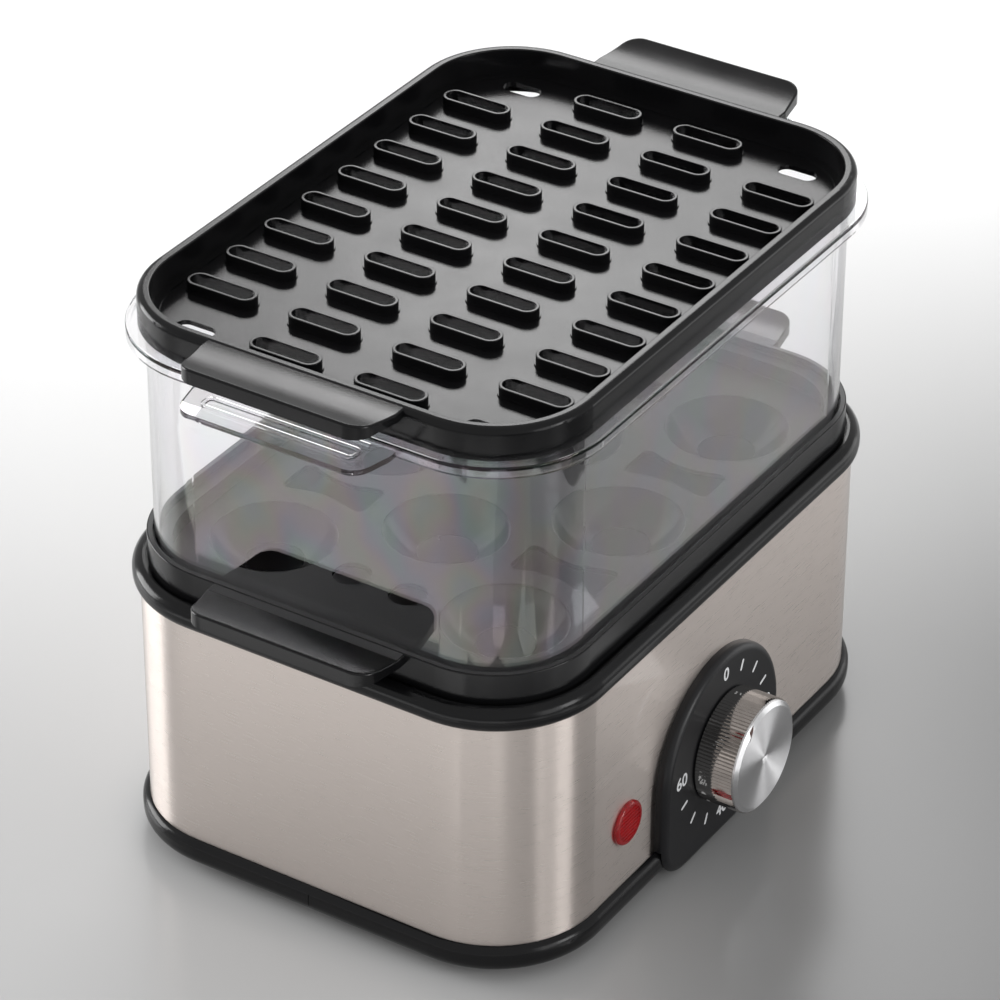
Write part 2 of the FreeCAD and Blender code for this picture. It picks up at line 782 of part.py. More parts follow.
def make_handle(rim_outside, rim_inside, top, lift):
    """A moulded grip with a hollow top and a rim turned down round its edge."""
    root = half_length + rim_outside
    start = half_length + rim_inside
    tip = root + handle_reach
    high = top + lift
    low = high - handle_lip_height
    plan = handle_plan(root, handle_reach, handle_root_half, handle_tip_half, low, high)
    body = plan.common(dipped_section(start, tip, top, high, low))
    edges = [edge for edge in body.Edges
             if edge.BoundBox.ZMin > low + handle_lip_height / 2 and edge.BoundBox.XMin > root + FIT]
    body = body.makeFillet(handle_edge_round, edges)
    hollow = handle_plan(root, handle_reach, handle_root_half, handle_tip_half, low - OVERRUN, high,
                         handle_lip_wall)
    under = dipped_section(root, tip, top - handle_skin, high - handle_skin, low - OVERRUN)
    return body.cut(hollow.common(under))


# Clear tier

def make_clear_tier():
    wall = ring(tier_outside, tier_inside, tray_shelf, tier_top)
    flange = ring(flange_overhang, tier_inside, tier_top - flange_thickness, tier_top)
    flange = flange.makeFillet(rim_edge_round, level_edges(flange, tier_top))
    lip_low = tier_top - flange_thickness - flange_lip
    lip = ring(flange_overhang, flange_overhang - flange_lip_wall, lip_low, tier_top - flange_thickness)
    body = wall.fuse([flange, lip])
    root = half_length + flange_overhang
    high = lip_low + tier_handle_thickness
    plate = handle_plan(root, tier_handle_reach, handle_root_half, handle_tip_half, lip_low, high)
    plate = plate.fuse(handle_frame(root, tier_handle_reach, high))
    plate = plate.cut(slab(flange_overhang - flange_lip_wall, lip_low - OVERRUN, tier_top))
    return body.fuse(both_ends(plate))


def handle_frame(root, reach, low):
    """A raised frame near the tip of a clear handle, and a rib behind it."""
    tip = root + reach - frame_tip_inset
    half = handle_tip_half - frame_side_inset
    high = low + frame_rib_height
    frame = block(V(tip - frame_depth, -half, low), V(tip, half, high))
    frame = frame.makeFillet(frame_corner, upright_edges(frame, lambda place: True))
    inner = block(V(tip - frame_depth + frame_rib_width, -half + frame_rib_width, low - OVERRUN),
                  V(tip - frame_rib_width, half - frame_rib_width, high + OVERRUN))
    inner = inner.makeFillet(frame_corner - frame_rib_width, upright_edges(inner, lambda place: True))
    rib = block(V(root + frame_rib_width, -half, low), V(root + 2 * frame_rib_width, half, high))
    return [piece.translated(V(0, -handle_shift, 0)) for piece in (frame.cut(inner), rib)]


# Steaming tray

def slot_places():
    places = []
    for column in range(slot_columns):
        y = (column - (slot_columns - 1) / 2) * slot_pitch_y
        outer = column in (0, slot_columns - 1)
        for row in range(1, slot_rows - 1) if outer else range(slot_rows):
            places.append(((row - (slot_rows - 1) / 2) * slot_pitch_x, y))
    return places


def make_steam_tray():
    body = slab(-steam_rim_inset, tier_top, steam_rim)
    body = body.cut(slab(steam_inside, steam_floor, steam_rim + OVERRUN))
    body = body.makeFillet(steam_rim_round, plan_edges(body, -steam_rim_inset, steam_rim))
    body = body.makeFillet(rim_edge_round, plan_edges(body, steam_inside, steam_rim))
    border = ring(steam_inside, steam_inside - steam_border_width, steam_floor,
                  steam_floor + steam_border_rise)
    inner_length = slot_length - 2 * slot_wall
    inner_width = slot_width - 2 * slot_wall
    collar = stadium(slot_length, slot_width, steam_floor, steam_floor + slot_rise, 0, 0)
    collar = collar.makeFillet(slot_edge_round, level_edges(collar, steam_floor + slot_rise))
    collar = collar.fuse(stadium(slot_length + 2 * slot_foot, slot_width + 2 * slot_foot,
                                 steam_floor, steam_floor + slot_foot, 0, 0))
    collar = collar.cut(stadium(inner_length, inner_width, steam_floor - OVERRUN,
                                steam_floor + slot_rise + OVERRUN, 0, 0))
    opening = stadium(inner_length, inner_width, tier_top - OVERRUN, steam_floor + OVERRUN, 0, 0)
    collars = []
    openings = []
    for x, y in slot_places():
        collars.append(collar.translated(V(x, y, 0)))
        openings.append(opening.translated(V(x, y, 0)))
    for x, y in corners(drain_x, drain_y):
        openings.append(stadium(drain_length, drain_width, tier_top - OVERRUN, steam_floor + OVERRUN, x, y))
    body = body.cut(openings).fuse(collars + [border])
    rib = ring(guide_outside, guide_outside - guide_rib_wall, tier_top - guide_rib_depth, tier_top)
    grip = make_handle(-steam_rim_inset, steam_inside, steam_rim, handle_lift)
    return body.fuse([rib] + both_ends(grip))


# Control panel and lamp

def panel_shape(back, front):
    """A plate with an arch for its top, straight sides and rounded feet."""
    right = dial_x + panel_radius
    left = dial_x - panel_radius
    arch = dial_height - panel_arch_drop
    foot = panel_foot_height
    edges = [
        Part.Arc(V(left, back, arch), V(dial_x, back, arch + panel_radius), V(right, back, arch)).toShape(),
        Part.makeLine(V(right, back, arch), V(right, back, foot)),
        Part.makeLine(V(right, back, foot), V(left, back, foot)),
        Part.makeLine(V(left, back, foot), V(left, back, arch)),
    ]
    body = Part.Face(Part.Wire(edges)).extrude(V(0, front - back, 0))
    feet = [edge for edge in body.Edges
            if edge.BoundBox.ZMax < foot + FIT and edge.BoundBox.XLength < FIT]
    return body.makeFillet(panel_corner, feet)


def timer_screw_heights():
    return [dial_height - timer_screw_pitch / 2, dial_height + timer_screw_pitch / 2]


def make_panel():
    body = panel_shape(front_face, panel_front)
    front_edges = [edge for edge in body.Edges
                   if edge.BoundBox.YLength < FIT and edge.BoundBox.YMax < panel_front + FIT]
    body = body.makeFillet(panel_edge_round, front_edges)
    body = body.cut(slab(trim_bulge + SNUG, foot_height - FIT, trim_top + SNUG))
    body = body.cut(block(V(-half_length, front_face - trim_bulge - SNUG, 0),
                          V(half_length, front_face + OVERRUN, foot_height)))
    reach = panel_thickness + 2 * OVERRUN
    start = panel_front - OVERRUN
    body = body.cut(cylinder(bushing_radius + SNUG, reach, V(dial_x, start, dial_height), BACK))
    for z in timer_screw_heights():
        body = body.cut(cylinder(timer_screw_radius + SNUG, reach, V(dial_x, start, z), BACK))
        sink = cylinder(screw_head_radius + SNUG, screw_head_height + OVERRUN, V(dial_x, start, z), BACK)
        body = body.cut(sink)
    return body


def make_lens():
    cap = cylinder(lens_radius, lens_proud, V(lamp_x, front_face - lens_proud, dial_height), BACK)
    rim = [edge for edge in cap.Edges if edge.Closed and edge.BoundBox.YMax < front_face - lens_proud + FIT]
    cap = cap.makeFillet(lens_dome_round, rim)
    inner = lens_radius - lens_rim
    recess_y = front_face - lens_proud + lens_recess
    recess = cylinder(inner, lens_recess + OVERRUN, V(lamp_x, recess_y - lens_recess - OVERRUN, dial_height),
                      BACK)
    neck = tube(lens_neck_radius, lens_neck_radius - lens_wall, shell_wall + lens_neck_length,
                V(lamp_x, front_face, dial_height), BACK)
    pitch = 2 * inner / lens_rib_count
    ribs = []
    for number in range(lens_rib_count):
        z = dial_height - inner + (number + 1 / 2) * pitch
        ribs.append(block(V(lamp_x - inner, recess_y - lens_rib_height, z - pitch / 4),
                          V(lamp_x + inner, recess_y + lens_rib_height, z + pitch / 4)))
    ribs = Part.makeCompound(ribs).common(cylinder(inner + SNUG, 2 * lens_proud,
                                                   V(lamp_x, recess_y - lens_proud, dial_height), BACK))
    return cap.cut(recess).fuse([neck] + ribs.Solids)


def make_lamp_holder():
    start = front_inside
    body = tube(lens_neck_radius + holder_wall + SNUG, lens_neck_radius + SNUG, lens_neck_length,
                V(lamp_x, start, dial_height), BACK)
    tail = tube(lens_neck_radius + holder_wall + SNUG, neon_radius + SNUG, holder_length - lens_neck_length,
                V(lamp_x, start + lens_neck_length, dial_height), BACK)
    return body.fuse(tail)


def make_neon():
    start = V(lamp_x, front_inside + lens_wall, dial_height)
    bulb = cylinder(neon_radius, neon_length, start, BACK)
    nose = [edge for edge in bulb.Edges if edge.Closed and edge.BoundBox.YMax < start.y + FIT]
    return bulb.makeFillet(neon_radius / 2, nose)


# Timer

def make_timer_plate():
    half = timer_size / 2 + timer_plate_margin
    body = block(V(dial_x - half, front_inside, dial_height - timer_size / 2),
                 V(dial_x + half, timer_front, dial_height + timer_size / 2))
    length = timer_front - panel_front
    bushing = cylinder(bushing_radius, length, V(dial_x, panel_front, dial_height), BACK)
    body = body.fuse(bushing)
    body = body.cut(cylinder(shaft_radius + shaft_clearance, length + 2 * OVERRUN,
                             V(dial_x, panel_front - OVERRUN, dial_height), BACK))
    pivot = V(pinion_x, front_inside - OVERRUN, dial_height)
    body = body.cut(cylinder(pinion_pivot_radius + shaft_clearance, timer_plate_thickness + 2 * OVERRUN,
                             pivot, BACK))
    for z in timer_screw_heights():
        body = body.cut(cylinder(timer_screw_radius, timer_plate_thickness + 2 * OVERRUN,
                                 V(dial_x, front_inside - OVERRUN, z), BACK))
    return body


def make_timer_screws():
    screws = []
    for z in timer_screw_heights():
        start = V(dial_x, panel_front, z)
        head = cylinder(screw_head_radius, screw_head_height, start, BACK)
        screws.append(head.fuse(cylinder(timer_screw_radius, timer_front - panel_front, start, BACK)))
    return Part.makeCompound(screws)


def make_timer_case():
    half = timer_size / 2
    body = block(V(dial_x - half, timer_front, dial_height - half),
                 V(dial_x + half, timer_back, dial_height + half))
    inner = half - timer_wall
    body = body.cut(block(V(dial_x - inner, timer_front - OVERRUN, dial_height - inner),
                          V(dial_x + inner, timer_back - timer_wall, dial_height + inner)))
    for x, radius in ((dial_x, shaft_radius), (pinion_x, pinion_pivot_radius)):
        body = body.cut(cylinder(radius + shaft_clearance, timer_wall + 2 * OVERRUN,
                                 V(x, timer_back - timer_wall - OVERRUN, dial_height), BACK))
    return body


def make_shaft():
    start = knob_front + knob_front_wall + cap_thickness
    length = timer_back - start
    body = cylinder(shaft_radius, length, V(dial_x, start, dial_height), BACK)
    flat = block(V(dial_x - shaft_radius, start - OVERRUN, dial_height + shaft_radius - shaft_flat),
                 V(dial_x + shaft_radius, knob_back, dial_height + shaft_radius + OVERRUN))
    return body.cut(flat)


def involute(angle):
    return math.tan(angle) - angle


def gear(teeth, x, y, turn):
    """A spur gear on an axis along Y, with involute flanks."""
    pitch = gear_module * teeth / 2
    base = pitch * math.cos(math.radians(pressure_angle))
    tip = pitch + gear_module * gear_addendum_share
    root = pitch - gear_module * gear_dedendum_share
    thickness = math.pi * gear_module / 2 - gear_backlash
    half_tooth = thickness / 2 / pitch + involute(math.radians(pressure_angle))
    low = max(base, root)
    flank = []
    for step in range(gear_flank_steps + 1):
        radius = low + (tip - low) * step / gear_flank_steps
        flank.append((radius, half_tooth - involute(math.acos(min(1.0, base / radius)))))
    if root < base:
        flank.insert(0, (root, half_tooth))
    points = []
    for tooth in range(teeth):
        middle = turn + 2 * math.pi * tooth / teeth
        for radius, half in flank:
            points.append((radius, middle - half))
        for radius, half in reversed(flank):
            points.append((radius, middle + half))
    corners_3d = [V(x + radius * math.sin(angle), y, dial_height + radius * math.cos(angle))
                  for radius, angle in points]
    return Part.Face(Part.makePolygon(corners_3d + corners_3d[:1])).extrude(V(0, gear_thickness, 0))


def make_drive_wheel():
    body = gear(wheel_teeth, dial_x, wheel_y, math.pi / 2)
    return body.cut(cylinder(shaft_radius, gear_thickness + 2 * OVERRUN,
                             V(dial_x, wheel_y - OVERRUN, dial_height), BACK))


def make_pinion():
    half_step = math.pi / pinion_teeth
    body = gear(pinion_teeth, pinion_x, wheel_y, -math.pi / 2 + half_step)
    axle = cylinder(pinion_pivot_radius, timer_back - front_inside,
                    V(pinion_x, front_inside, dial_height), BACK)
    return body.fuse(axle)


def make_cam():
    start = V(dial_x, wheel_y + gear_thickness, dial_height)
    top = dial_height + cam_radius
    body = tube(cam_radius, shaft_radius, cam_thickness, start, BACK)
    notch = block(V(dial_x - cam_notch / 2, start.y - OVERRUN, top - cam_notch),
                  V(dial_x + cam_notch / 2, start.y + cam_thickness + OVERRUN, top + OVERRUN))
    return body.cut(notch)


def make_contacts():
    blades = []
    for side in (-1, 1):
        x = dial_x + side * contact_side
        blades.append(block(V(x - contact_width / 2, timer_back, contact_z - contact_thickness / 2),
                            V(x + contact_width / 2, timer_back + contact_length,
                              contact_z + contact_thickness / 2)))
    return Part.makeCompound(blades)


def make_bell_post():
    return cylinder(bell_post_radius, bell_gap + bell_height, V(dial_x, timer_back, bell_z), BACK)


def make_bell():
    """A shallow dome that opens towards the timer case."""
    start = V(dial_x, timer_back + bell_gap, bell_z)
    outer = round_back(cylinder(bell_radius, bell_height, start, BACK), bell_round)
    inner = round_back(cylinder(bell_radius - bell_wall, bell_height - bell_wall, start, BACK),
                       bell_round - bell_wall)
    return outer.cut(inner).cut(cylinder(bell_post_radius, bell_height + OVERRUN, start, BACK))


def round_back(shape, radius):
    """Rounds the edge that lies furthest back."""
    back = shape.BoundBox.YMax - FIT
    rims = [edge for edge in shape.Edges if edge.Closed and edge.BoundBox.YMin > back]
    return shape.makeFillet(radius, rims)


# Knob

def make_knob_skirt():
    points = []
    for number in range(2 * knob_ridges):
        radius = knob_radius - (knob_ridge_depth if number % 2 else 0)
        angle = math.pi * number / knob_ridges
        points.append(V(dial_x + radius * math.cos(angle), knob_front + cap_thickness,
                        dial_height + radius * math.sin(angle)))
    depth = knob_depth - cap_thickness
    body = Part.Face(Part.makePolygon(points + points[:1])).extrude(V(0, depth, 0))
    hollow_start = knob_front + cap_thickness + knob_front_wall
    hollow = tube(knob_radius - knob_wall, knob_hub_radius, knob_back - hollow_start + OVERRUN,
                  V(dial_x, hollow_start, dial_height), BACK)
    body = body.cut(hollow)
    return body.cut(make_shaft())


def pointer_point(radius, turn):
    angle = math.radians(turn)
    return V(dial_x + radius * math.sin(angle), knob_front - OVERRUN, dial_height + radius * math.cos(angle))


def pointer_prism():
    """The tapering pointer, from in front of the cap to the bottom of its groove."""
    points = [pointer_point(cap_radius + OVERRUN, pointer_start_turn),
              pointer_point(cap_radius + OVERRUN, pointer_end_turn),
              pointer_point(pointer_tip_radius, pointer_tip_turn)]
    return Part.Face(Part.makePolygon(points + points[:1])).extrude(V(0, OVERRUN + pointer_depth, 0))


def make_pointer():
    back = knob_front + pointer_depth
    layer = cylinder(cap_radius, pointer_fill, V(dial_x, back - pointer_fill, dial_height), BACK)
    return pointer_prism().common(layer).common(cap_blank())


def cap_blank():
    """A disc with a bevelled edge and a slightly dished face."""
    inner = cap_radius - cap_bevel
    front = knob_front
    back = knob_front + cap_thickness
    profile = Part.makePolygon([
        V(0, back, 0), V(0, front + cap_dish, 0), V(inner, front, 0),
        V(cap_radius, front + cap_bevel_depth, 0), V(cap_radius, back, 0), V(0, back, 0)])
    body = Part.Face(profile).revolve(V(0, 0, 0), BACK, 4 * QUARTER_TURN)
    body.translate(V(dial_x, 0, dial_height))
    return body


def make_knob_cap():
    return cap_blank().cut(pointer_prism())


# Mains inlet and wiring

def make_gland():
    outer = V(gland_x, half_width, gland_height)
    length = gland_flange + shell_wall + gland_nut + gland_tail
    flange = cylinder(gland_flange_radius, gland_flange, outer, BACK)
    neck = cylinder(gland_neck, length, outer + V(0, gland_flange - length, 0), BACK)
    outer_edge = [edge for edge in flange.Edges if edge.Closed and edge.BoundBox.YMin > half_width + FIT]
    body = flange.makeFillet(gland_flange / 3, outer_edge).fuse(neck)
    start = outer + V(0, gland_flange - length - OVERRUN, 0)
    return body.cut(cylinder(gland_bore, length + 2 * OVERRUN, start, BACK))


def make_gland_nut():
    start = half_width - shell_wall - gland_nut
    points = []
    for number in range(gland_nut_sides):
        angle = 2 * math.pi * number / gland_nut_sides
        points.append(V(gland_x + gland_nut_radius * math.cos(angle), start,
                        gland_height + gland_nut_radius * math.sin(angle)))
    body = Part.Face(Part.makePolygon(points + points[:1])).extrude(V(0, gland_nut, 0))
    return body.cut(cylinder(gland_neck, gland_nut + 2 * OVERRUN,
                             V(gland_x, start - OVERRUN, gland_height), BACK))


def way_places():
    pitch = block_length / block_ways
    return [block_x - block_length / 2 + (number + 0.5) * pitch for number in range(block_ways)]


def make_terminal_block():
    body = block(V(block_x - block_length / 2, block_y - block_width / 2, cover_top),
                 V(block_x + block_length / 2, block_y + block_width / 2, cover_top + block_height))
    for x in way_places():
        body = body.cut(cylinder(block_screw_radius + SNUG, block_screw_depth + OVERRUN,
                                 V(x, block_y, cover_top + block_height - block_screw_depth)))
    return body


def make_terminal_screws():
    low = cover_top + block_height - block_screw_depth
    screws = []
    for x in way_places():
        head = cylinder(block_screw_radius, block_screw_depth, V(x, block_y, low))
        slot = block(V(x - block_screw_radius, block_y - SNUG, low + block_screw_depth / 2),
                     V(x + block_screw_radius, block_y + SNUG, low + 2 * block_screw_depth))
        screws.append(head.cut(slot))
    return Part.makeCompound(screws)


def lamp_lead():
    way = way_places()[0]
    front = block_y - block_width / 2
    run = front - lead_run
    return bent_lead([
        V(way, front, block_lead_z), V(way, run, block_lead_z), V(lamp_x, run, block_lead_z),
        V(lamp_x, run, dial_height), V(lamp_x, front_inside + holder_length, dial_height)])


def live_lead():
    way = way_places()[1]
    x = dial_x + contact_side
    return bent_lead([
        V(way, block_y - block_width / 2, block_lead_z), V(way, 0, block_lead_z), V(way, 0, contact_z),
        V(x, 0, contact_z), V(x, timer_back + contact_length, contact_z)])


def switched_lead():
    """From the timer to the near tab of the thermostat."""
    x = dial_x - contact_side
    low = thermostat_bottom - tab_length - lead_sag
    return bent_lead([
        V(x, timer_back + contact_length, contact_z), V(x, -element_bend - lead_bend, contact_z),
        V(-contact_width, 0, low), V(-contact_width, 0, thermostat_bottom - tab_length)])


def element_lead():
    """From the far tab of the thermostat to one end of the element."""
    top = thermostat_bottom - tab_length
    outer = element_leg + element_tail + 2 * lead_bend
    return bent_lead([
        V(contact_width, 0, top), V(contact_width, 0, top - lead_sag),
        V(outer, -element_bend, top - lead_bend), V(outer, -element_bend, element_height),
        V(element_leg + element_tail, -element_bend, element_height)])


def neutral_lead():
    way = way_places()[2]
    front = block_y - block_width / 2
    end = element_leg + element_tail
    return bent_lead([
        V(way, front, block_lead_z), V(way, element_bend, block_lead_z),
        V(way, element_bend, element_height), V(end, element_bend, element_height)])


def earth_lead():
    way = way_places()[3]
    z = spreader_bottom - tab_length + lead_radius
    return bent_lead([
        V(way, block_y - block_width / 2, block_lead_z), V(way, 0, block_lead_z), V(way, 0, z),
        V(spreader_length / 2 - spreader_corner, 0, z)])


def make_cover_screws():
    screws = []
    for x, y in cover_screw_places():
        head = cylinder(screw_head_radius, screw_head_height, V(x, y, foot_height - screw_head_height))
        shank = cylinder(screw_shank, cover_thickness + cover_boss_height - 2 * OVERRUN,
                         V(x, y, foot_height))
        screws.append(head.fuse(shank))
    return Part.makeCompound(screws)


save("base_housing", make_housing())
save("outer_shell", make_shell())
save("top_bezel", make_bezel())
save("bottom_cover", make_cover())
save("cover_screws", make_cover_screws())
save("rubber_feet", make_feet())
save("tie_screws", make_tie_screws())
save("water_basin", make_basin())
save("basin_gasket", make_gasket())
save("heat_spreader", make_spreader())
save("heating_element", make_element())
save("element_clamps", make_clamps())
save("clamp_rivets", make_clamp_rivets())
save("thermostat", make_thermostat())
save("thermostat_screws", make_thermostat_screws())
save("thermal_fuse", make_fuse())
save("earth_tab", make_earth_tab())
save("egg_tray", make_egg_tray())
save("clear_tier", make_clear_tier())
save("steam_tray", make_steam_tray())
save("control_panel", make_panel())
save("indicator_lens", make_lens())
save("lamp_holder", make_lamp_holder())
save("neon_lamp", make_neon())
save("timer_plate", make_timer_plate())
save("timer_screws", make_timer_screws())
save("timer_case", make_timer_case())
save("timer_shaft", make_shaft())
save("drive_wheel", make_drive_wheel())
save("switch_cam", make_cam())
save("escape_pinion", make_pinion())
save("timer_contacts", make_contacts())
save("bell_post", make_bell_post())
save("timer_bell", make_bell())
save("knob_skirt", make_knob_skirt())
save("knob_face", make_knob_cap())
save("knob_pointer", make_pointer())
save("cord_gland", make_gland())
save("gland_nut", make_gland_nut())
save("terminal_block", make_terminal_block())
save("terminal_screws", make_terminal_screws())
save("lamp_lead", lamp_lead())
save("live_lead", live_lead())
save("switched_lead", switched_lead())
save("element_lead", element_lead())
save("neutral_lead", neutral_lead())
save("earth_lead", earth_lead())
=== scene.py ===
import math

import bmesh
import bpy
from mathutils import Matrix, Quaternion, Vector


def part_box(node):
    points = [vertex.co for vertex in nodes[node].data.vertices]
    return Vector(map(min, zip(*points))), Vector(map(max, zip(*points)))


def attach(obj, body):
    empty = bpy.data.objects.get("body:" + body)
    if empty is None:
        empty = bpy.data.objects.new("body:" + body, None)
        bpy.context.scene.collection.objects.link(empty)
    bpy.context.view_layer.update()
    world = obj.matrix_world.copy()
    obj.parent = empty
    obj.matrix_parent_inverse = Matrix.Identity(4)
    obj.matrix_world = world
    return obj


# Looks of the two-tier egg boiler. Metres, in the same frame as the solids:
# +X along the long side, -Y towards the timer knob, +Z up, the table at zero.

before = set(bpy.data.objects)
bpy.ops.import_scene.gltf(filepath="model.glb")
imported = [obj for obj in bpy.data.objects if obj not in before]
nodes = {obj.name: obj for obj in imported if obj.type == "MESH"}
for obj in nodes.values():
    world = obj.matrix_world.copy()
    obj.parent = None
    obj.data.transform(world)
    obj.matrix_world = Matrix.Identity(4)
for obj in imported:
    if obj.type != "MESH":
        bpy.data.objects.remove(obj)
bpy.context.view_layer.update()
scene = bpy.context.scene

MM = 0.001


def middle(name):
    """The middle of a node's box."""
    low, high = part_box(name)
    return (Vector(low) + Vector(high)) / 2


# Places read from the solids
base = Vector((middle("outer_shell").x, middle("outer_shell").y, 0))
dial = middle("knob_face")
panel_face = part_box("control_panel")[0].y
tier_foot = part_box("clear_tier")[0].z

# Camera, measured from the point on the table under the middle of the base
camera_place = Vector((-1.1005, -0.7024, 0.9500))
camera_target = Vector((-0.0013, 0.0008, 0.1039))
camera_roll = 0.19
camera_lens = 164.4
sensor_width = 36.0
clip_near = 0.01
clip_far = 50.0

# The egg tray's flat floor, rougher than its wells and painted a lighter black as a stand-in for sheen:
# its half length, its depth under the tier's foot, the soft edge of its mask, and how far up its faces
# look, where one is straight up
floor_mask_half_length = 118 * MM
floor_mask_depth = 9 * MM
mask_blend = 1 * MM
floor_mask_facing = (0.97, 0.99)

# Dial, with angles in degrees
dial_sweep = 270
tick_count = 12
ticks_per_number = 4
minutes_per_tick = 5
tick_step = dial_sweep / tick_count
tick_radius = 27.8 * MM
tick_length = 4.4 * MM
tick_width = 1.1 * MM
tick_end_steps = 6
digit_height = 7.0 * MM
digit_weight = 0.12 * MM
print_depth = 0.12 * MM
print_proud = 0.04 * MM

# Noise cells per metre
streak_cells = (110, 110, 3600)
cloud_cells = (60, 60, 60)
grain_cells = (1900, 1900, 1900)
wave_cells = (14, 14, 5)
stress_cells = (30, 30, 6)
film_cells = (35, 35, 22)
metal_cells = (300, 300, 300)
drawn_cells = (40, 400, 400)
lens_cells = (500, 500, 500)
ink_cells = (900, 900, 900)
ring_cells = 4200

# Heights of the bumps
streak_height = 0.01 * MM
grain_height = 0.05 * MM
wave_height = 0.5 * MM
ring_height = 0.02 * MM

# The clear tier's film, in nanometres
film_thickness = (300, 620)

# Colours, each as a darkest and a lightest tone
steel_tones = ((0.655, 0.586, 0.545), (0.725, 0.650, 0.603))
black_tones = ((0.004, 0.004, 0.0045), (0.007, 0.007, 0.0075))
# A lighter black that paints sheen onto the egg tray's up-facing floor
painted_sheen_black_tones = ((0.050, 0.050, 0.051), (0.060, 0.060, 0.061))
panel_tones = ((0.007, 0.007, 0.008), (0.011, 0.011, 0.0125))
spun_tones = ((0.84, 0.84, 0.85), (0.94, 0.94, 0.95))
chrome_tones = ((0.42, 0.41, 0.40), (0.56, 0.55, 0.54))
lens_tones = ((0.70, 0.006, 0.012), (0.90, 0.012, 0.022))
ink_tones = ((0.66, 0.67, 0.68), (0.80, 0.81, 0.82))
clear_tone = (0.975, 0.97, 0.982)

# Floor: depths run away from the camera, sides run to its right, both from the middle of the base
# The floor's tones are painted light and shade: white far away, grey near the camera, lighter on the left,
# and darker on the right as a painted shadow of the object
floor_half = 4.0
near_depth = -0.15
far_depth = 0.43
depth_power = 2.0
left_near_lit_tone = 0.60
# Painted shadow: the right side's near tone, darkening further to the right
right_near_shade_tones = (0.24, 0.13)
right_shade_sides = (0.07, 0.18)
lit_to_shade_sides = (-0.04, 0.12)

# Soft boxes: name, place and aim from the middle of the base, width and height, watts
soft_boxes = (
    ("back_softbox", (1.35, 0.67, 1.2), (1.35, 0.67, 0), (0.5, 0.78), 7.5),
    ("far_card", (1.7, 1.09, 1.10), (0, 0, 0.2), (1.0, 0.4), 5),
    ("knob_card", (0.06, -1.15, 0.38), (0, 0, 0.05), (0.30, 0.45), 2.6),
)

# Upright cards: name, bearing from +X towards +Y, width, lower edge, upper edge, watts
upright_distance = 0.9
upright_cards = (
    ("left_back_card", 106, 0.5, 0.06, 0.5, 5.4),
    ("front_card", 255, 0.3, 0.02, 0.5, 0.8),
    ("right_card", 326, 0.6, 0.02, 0.3, 0.7),
)

# Cards that lie on the floor: name, centre, width and length, radiance
floor_card_height = 4 * MM
floor_cards = (
    ("left_floor_card", (-0.33, 0.11), (0.14, 0.34), 1.1),
    ("front_floor_card", (0.23, -0.205), (0.38, 0.07), 0.55),
)

# Cards on the floor round the tier's front left corner: bearing and radiance
tier_corner = Vector((-0.110, -0.065))
corner_card_radius = 0.235
corner_card_size = (0.14, 0.19)
corner_cards = ((198, 1.1), (234, 0.8), (270, 0.6), (306, 0.55))

# Light of the surroundings, as the object gets it and as the camera sees it
world_light = 0.62
world_shown = 1.0


# Helpers for node trees

def feed(tree, node, inputs):
    """Sets each input to its value, or links it to the output that is given."""
    for key, value in inputs.items():
        if isinstance(value, bpy.types.NodeSocket):
            tree.links.new(value, node.inputs[key])
        else:
            node.inputs[key].default_value = value


def add(tree, kind, inputs=None, **settings):
    """Adds a node, sets its options, and feeds its inputs."""
    made = tree.nodes.new(kind)
    for key, value in settings.items():
        setattr(made, key, value)
    feed(tree, made, inputs or {})
    return made


def new_material(name):
    """A material with one Principled shader, and nothing linked to it yet."""
    material = bpy.data.materials.new(name)
    material.use_nodes = True
    tree = material.node_tree
    tree.nodes.clear()
    shader = add(tree, "ShaderNodeBsdfPrincipled")
    add(tree, "ShaderNodeOutputMaterial", {"Surface": shader.outputs["BSDF"]})
    return material, tree, shader


def object_place(tree):
    """The point in object space, where one unit is a metre."""
    return add(tree, "ShaderNodeTexCoord").outputs["Object"]


def noise(tree, cells, detail=2.0):
    """Noise in object space, with its own number of cells per metre along each axis."""
    scaled = add(tree, "ShaderNodeMapping", {"Vector": object_place(tree), "Scale": cells})
    made = add(tree, "ShaderNodeTexNoise",
               {"Vector": scaled.outputs["Vector"], "Scale": 1.0, "Detail": detail})
    return made.outputs["Fac"]


def spread(tree, value, low, high, start=0.3, end=0.7):
    """Maps a value that runs from start to end to the range from low to high."""
    mapped = add(tree, "ShaderNodeMapRange", {"Value": value, "From Min": start, "From Max": end,
                                              "To Min": low, "To Max": high})
    return mapped.outputs["Result"]


def calculate(tree, operation, first, second):
    """One sum of two numbers."""
    return add(tree, "ShaderNodeMath", {0: first, 1: second}, operation=operation).outputs[0]


def calculate_vector(tree, operation, first, second):
    """One sum of two vectors."""
    return add(tree, "ShaderNodeVectorMath", {0: first, 1: second}, operation=operation)


def blend_colours(tree, share, first, second):
    """Mixes two colours, each a plain tone or a node's output."""
    mixed = add(tree, "ShaderNodeMix", data_type="RGBA")
    ends = [tone if isinstance(tone, bpy.types.NodeSocket) else (*tone, 1.0) for tone in (first, second)]
    feed(tree, mixed, {0: share, 6: ends[0], 7: ends[1]})
    return mixed.outputs[2]


def bump(tree, height, strength, distance):
    """The normal of a surface with a height pattern."""
    made = add(tree, "ShaderNodeBump", {"Height": height, "Strength": strength, "Distance": distance})
    return made.outputs["Normal"]


def round_tangent(tree, axis):
    """The direction round an axis, along which a turned or brushed metal is scratched."""
    return add(tree, "ShaderNodeTangent", direction_type="RADIAL", axis=axis).outputs["Tangent"]


# Materials

